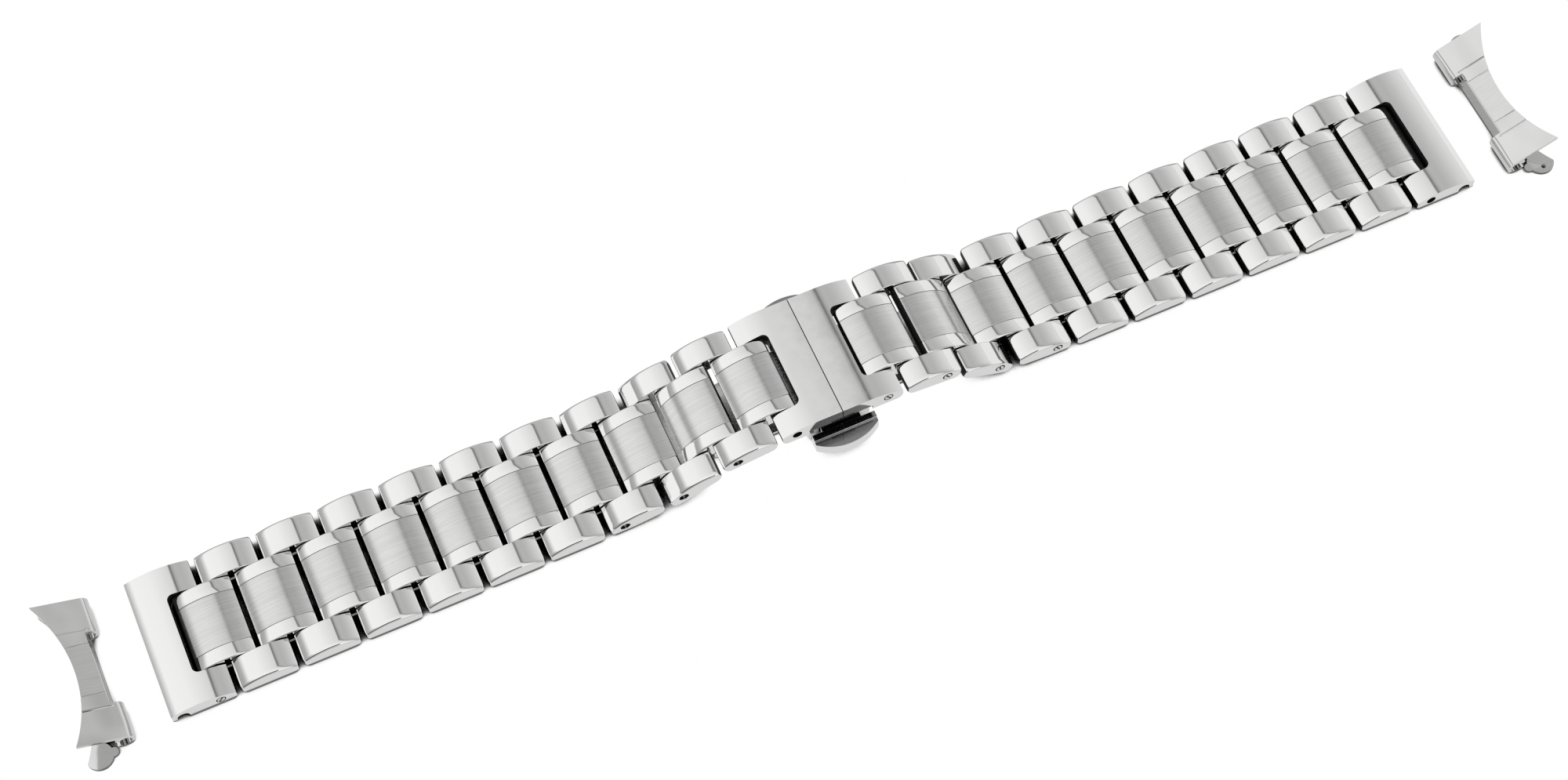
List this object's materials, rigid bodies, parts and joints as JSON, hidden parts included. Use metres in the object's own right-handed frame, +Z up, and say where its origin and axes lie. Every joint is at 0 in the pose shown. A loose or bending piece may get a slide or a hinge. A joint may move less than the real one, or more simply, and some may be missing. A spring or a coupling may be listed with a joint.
{
  "type": "link watch bracelet",
  "caption": "Steel link band for a wrist watch: polished outer links, brushed centre links, butterfly clasp with two push buttons, and two curved end pieces.",
  "frame": {"origin": "on the table under the middle of the clasp, at the centre of the bounding box's bottom", "axes": "+X along the band, +Y across it, +Z up from the table, towards the outside of the band"},
  "size_m": [0.2036, 0.0238, 0.0081],
  "materials": {
    "polished_steel": "mirror polished stainless steel",
    "brushed_steel": "brushed along the band, polished side strips",
    "clasp_steel": "satin stainless steel",
    "pin_steel": "drawn stainless wire",
    "spring_steel": "plain spring wire",
    "sheet_steel": "satin folded sheet"
  },
  "bodies": {
    "clasp_base": {"clasp_base": "clasp_steel", "base_hinge_pins": "pin_steel", "catch_box": "clasp_steel", "button_spring": "spring_steel"},
    "near_button": {"near_button": "polished_steel"},
    "far_button": {"far_button": "polished_steel"},
    "left_blade": {"left_blade": "clasp_steel", "left_blade_pin": "pin_steel", "left_catch": "clasp_steel"},
    "left_clasp_link": {"left_clasp_link": "polished_steel", "left_clasp_link_pin": "pin_steel"},
    "left_unit_1": {"left_centre_link_1": "brushed_steel", "left_outer_links_1": "polished_steel"},
    "left_unit_2": {"left_centre_link_2": "brushed_steel", "left_outer_links_2": "polished_steel"},
    "left_unit_3": {"left_centre_link_3": "brushed_steel", "left_outer_links_3": "polished_steel"},
    "left_unit_4": {"left_centre_link_4": "brushed_steel", "left_outer_links_4": "polished_steel"},
    "left_unit_5": {"left_centre_link_5": "brushed_steel", "left_outer_links_5": "polished_steel"},
    "left_unit_6": {"left_centre_link_6": "brushed_steel", "left_outer_links_6": "polished_steel"},
    "left_unit_7": {"left_centre_link_7": "brushed_steel", "left_outer_links_7": "polished_steel"},
    "left_unit_8": {"left_centre_link_8": "brushed_steel", "left_outer_links_8": "polished_steel"},
    "left_unit_9": {"left_centre_link_9": "brushed_steel", "left_outer_links_9": "polished_steel"},
    "left_last_centre_link": {"left_centre_link_10": "brushed_steel"},
    "left_watch_link": {"left_watch_link": "polished_steel", "left_watch_link_pin": "pin_steel"},
    "left_end_piece": {"left_end_piece": "sheet_steel"},
    "right_blade": {"right_blade": "clasp_steel", "right_blade_pin": "pin_steel", "right_catch": "clasp_steel"},
    "right_clasp_link": {"right_clasp_link": "polished_steel", "right_clasp_link_pin": "pin_steel"},
    "right_unit_1": {"right_centre_link_1": "brushed_steel", "right_outer_links_1": "polished_steel"},
    "right_unit_2": {"right_centre_link_2": "brushed_steel", "right_outer_links_2": "polished_steel"},
    "right_unit_3": {"right_centre_link_3": "brushed_steel", "right_outer_links_3": "polished_steel"},
    "right_unit_4": {"right_centre_link_4": "brushed_steel", "right_outer_links_4": "polished_steel"},
    "right_unit_5": {"right_centre_link_5": "brushed_steel", "right_outer_links_5": "polished_steel"},
    "right_unit_6": {"right_centre_link_6": "brushed_steel", "right_outer_links_6": "polished_steel"},
    "right_unit_7": {"right_centre_link_7": "brushed_steel", "right_outer_links_7": "polished_steel"},
    "right_unit_8": {"right_centre_link_8": "brushed_steel", "right_outer_links_8": "polished_steel"},
    "right_unit_9": {"right_centre_link_9": "brushed_steel", "right_outer_links_9": "polished_steel"},
    "right_last_centre_link": {"right_centre_link_10": "brushed_steel"},
    "right_watch_link": {"right_watch_link": "polished_steel", "right_watch_link_pin": "pin_steel"},
    "right_end_piece": {"right_end_piece": "sheet_steel"}
  },
  "joints": [
    {"name": "near_button_press", "type": "slide", "parent": "clasp_base", "child": "near_button", "axis": [0, 1, 0], "range_m": [0, 0.0008], "stiffness_N_per_m": 600, "springref_m": -0.0004, "deforming": ["button_spring"]},
    {"name": "far_button_press", "type": "slide", "parent": "clasp_base", "child": "far_button", "axis": [0, -1, 0], "range_m": [0, 0.0008], "stiffness_N_per_m": 600, "springref_m": -0.0004, "deforming": ["button_spring"]},
    {"name": "left_blade_hinge", "type": "hinge", "parent": "clasp_base", "child": "left_blade", "pos_m": [-0.015, 0, 0.0012], "axis": [0, -1, 0], "range_deg": [0, 160]},
    {"name": "left_clasp_link_hinge", "type": "hinge", "parent": "left_blade", "child": "left_clasp_link", "pos_m": [-0.0013, 0, 0.00625], "axis": [0, 1, 0], "range_deg": [0, 152]},
    {"name": "left_link_hinge_1", "type": "hinge", "parent": "left_clasp_link", "child": "left_unit_1", "pos_m": [-0.00625, 0, 0.0068], "axis": [0, 1, 0], "range_deg": [-6, 28]},
    {"name": "left_link_hinge_2", "type": "hinge", "parent": "left_unit_1", "child": "left_unit_2", "pos_m": [-0.01438, 0, 0.00573], "axis": [0, 1, 0], "range_deg": [-8, 35]},
    {"name": "left_link_hinge_3", "type": "hinge", "parent": "left_unit_2", "child": "left_unit_3", "pos_m": [-0.02201, 0, 0.00273], "axis": [0, 1, 0], "range_deg": [-35, 8]},
    {"name": "left_link_hinge_4", "type": "hinge", "parent": "left_unit_3", "child": "left_unit_4", "pos_m": [-0.03012, 0, 0.00151], "axis": [0, 1, 0], "range_deg": [-29, 14]},
    {"name": "left_link_hinge_5", "type": "hinge", "parent": "left_unit_4", "child": "left_unit_5", "pos_m": [-0.03832, 0, 0.0013], "axis": [0, 1, 0], "range_deg": [-23, 19]},
    {"name": "left_link_hinge_6", "type": "hinge", "parent": "left_unit_5", "child": "left_unit_6", "pos_m": [-0.04652, 0, 0.0013], "axis": [0, 1, 0], "range_deg": [-22, 21]},
    {"name": "left_link_hinge_7", "type": "hinge", "parent": "left_unit_6", "child": "left_unit_7", "pos_m": [-0.05472, 0, 0.0013], "axis": [0, 1, 0], "range_deg": [-22, 21]},
    {"name": "left_link_hinge_8", "type": "hinge", "parent": "left_unit_7", "child": "left_unit_8", "pos_m": [-0.06292, 0, 0.0013], "axis": [0, 1, 0], "range_deg": [-22, 21]},
    {"name": "left_link_hinge_9", "type": "hinge", "parent": "left_unit_8", "child": "left_unit_9", "pos_m": [-0.07112, 0, 0.0013], "axis": [0, 1, 0], "range_deg": [-22, 21]},
    {"name": "left_link_hinge_10", "type": "hinge", "parent": "left_unit_9", "child": "left_last_centre_link", "pos_m": [-0.07932, 0, 0.0013], "axis": [0, 1, 0], "range_deg": [-22, 21]},
    {"name": "left_link_hinge_11", "type": "hinge", "parent": "left_last_centre_link", "child": "left_watch_link", "pos_m": [-0.08402, 0, 0.0013], "axis": [0, 1, 0], "range_deg": [-22, 21]},
    {"name": "left_end_piece_slide", "type": "slide", "parent": "left_watch_link", "child": "left_end_piece", "axis": [-1, 0, 0], "range_m": [-0.0044, 0]},
    {"name": "right_blade_hinge", "type": "hinge", "parent": "clasp_base", "child": "right_blade", "pos_m": [0.015, 0, 0.0012], "axis": [0, 1, 0], "range_deg": [0, 160]},
    {"name": "right_clasp_link_hinge", "type": "hinge", "parent": "right_blade", "child": "right_clasp_link", "pos_m": [0.0013, 0, 0.00625], "axis": [0, -1, 0], "range_deg": [0, 152]},
    {"name": "right_link_hinge_1", "type": "hinge", "parent": "right_clasp_link", "child": "right_unit_1", "pos_m": [0.00625, 0, 0.0068], "axis": [0, 1, 0], "range_deg": [-26, 6]},
    {"name": "right_link_hinge_2", "type": "hinge", "parent": "right_unit_1", "child": "right_unit_2", "pos_m": [0.01441, 0, 0.00597], "axis": [0, 1, 0], "range_deg": [-41, 1]},
    {"name": "right_link_hinge_3", "type": "hinge", "parent": "right_unit_2", "child": "right_unit_3", "pos_m": [0.02178, 0, 0.00237], "axis": [0, 1, 0], "range_deg": [0, 42]},
    {"name": "right_link_hinge_4", "type": "hinge", "parent": "right_unit_3", "child": "right_unit_4", "pos_m": [0.02994, 0, 0.00159], "axis": [0, 1, 0], "range_deg": [-17, 25]},
    {"name": "right_link_hinge_5", "type": "hinge", "parent": "right_unit_4", "child": "right_unit_5", "pos_m": [0.03813, 0, 0.0013], "axis": [0, 1, 0], "range_deg": [-19, 24]},
    {"name": "right_link_hinge_6", "type": "hinge", "parent": "right_unit_5", "child": "right_unit_6", "pos_m": [0.04633, 0, 0.0013], "axis": [0, 1, 0], "range_deg": [-21, 22]},
    {"name": "right_link_hinge_7", "type": "hinge", "parent": "right_unit_6", "child": "right_unit_7", "pos_m": [0.05453, 0, 0.0013], "axis": [0, 1, 0], "range_deg": [-21, 22]},
    {"name": "right_link_hinge_8", "type": "hinge", "parent": "right_unit_7", "child": "right_unit_8", "pos_m": [0.06273, 0, 0.0013], "axis": [0, 1, 0], "range_deg": [-21, 22]},
    {"name": "right_link_hinge_9", "type": "hinge", "parent": "right_unit_8", "child": "right_unit_9", "pos_m": [0.07093, 0, 0.0013], "axis": [0, 1, 0], "range_deg": [-21, 22]},
    {"name": "right_link_hinge_10", "type": "hinge", "parent": "right_unit_9", "child": "right_last_centre_link", "pos_m": [0.07913, 0, 0.0013], "axis": [0, 1, 0], "range_deg": [-21, 22]},
    {"name": "right_link_hinge_11", "type": "hinge", "parent": "right_last_centre_link", "child": "right_watch_link", "pos_m": [0.08383, 0, 0.0013], "axis": [0, 1, 0], "range_deg": [-21, 22]},
    {"name": "right_end_piece_slide", "type": "slide", "parent": "right_watch_link", "child": "right_end_piece", "axis": [1, 0, 0], "range_m": [-0.0044, 0]}
  ],
  "couplings": [
    {"joint": "left_clasp_link_hinge", "follows": "left_blade_hinge", "ratio": 0.95},
    {"joint": "right_clasp_link_hinge", "follows": "right_blade_hinge", "ratio": 0.95}
  ]
}
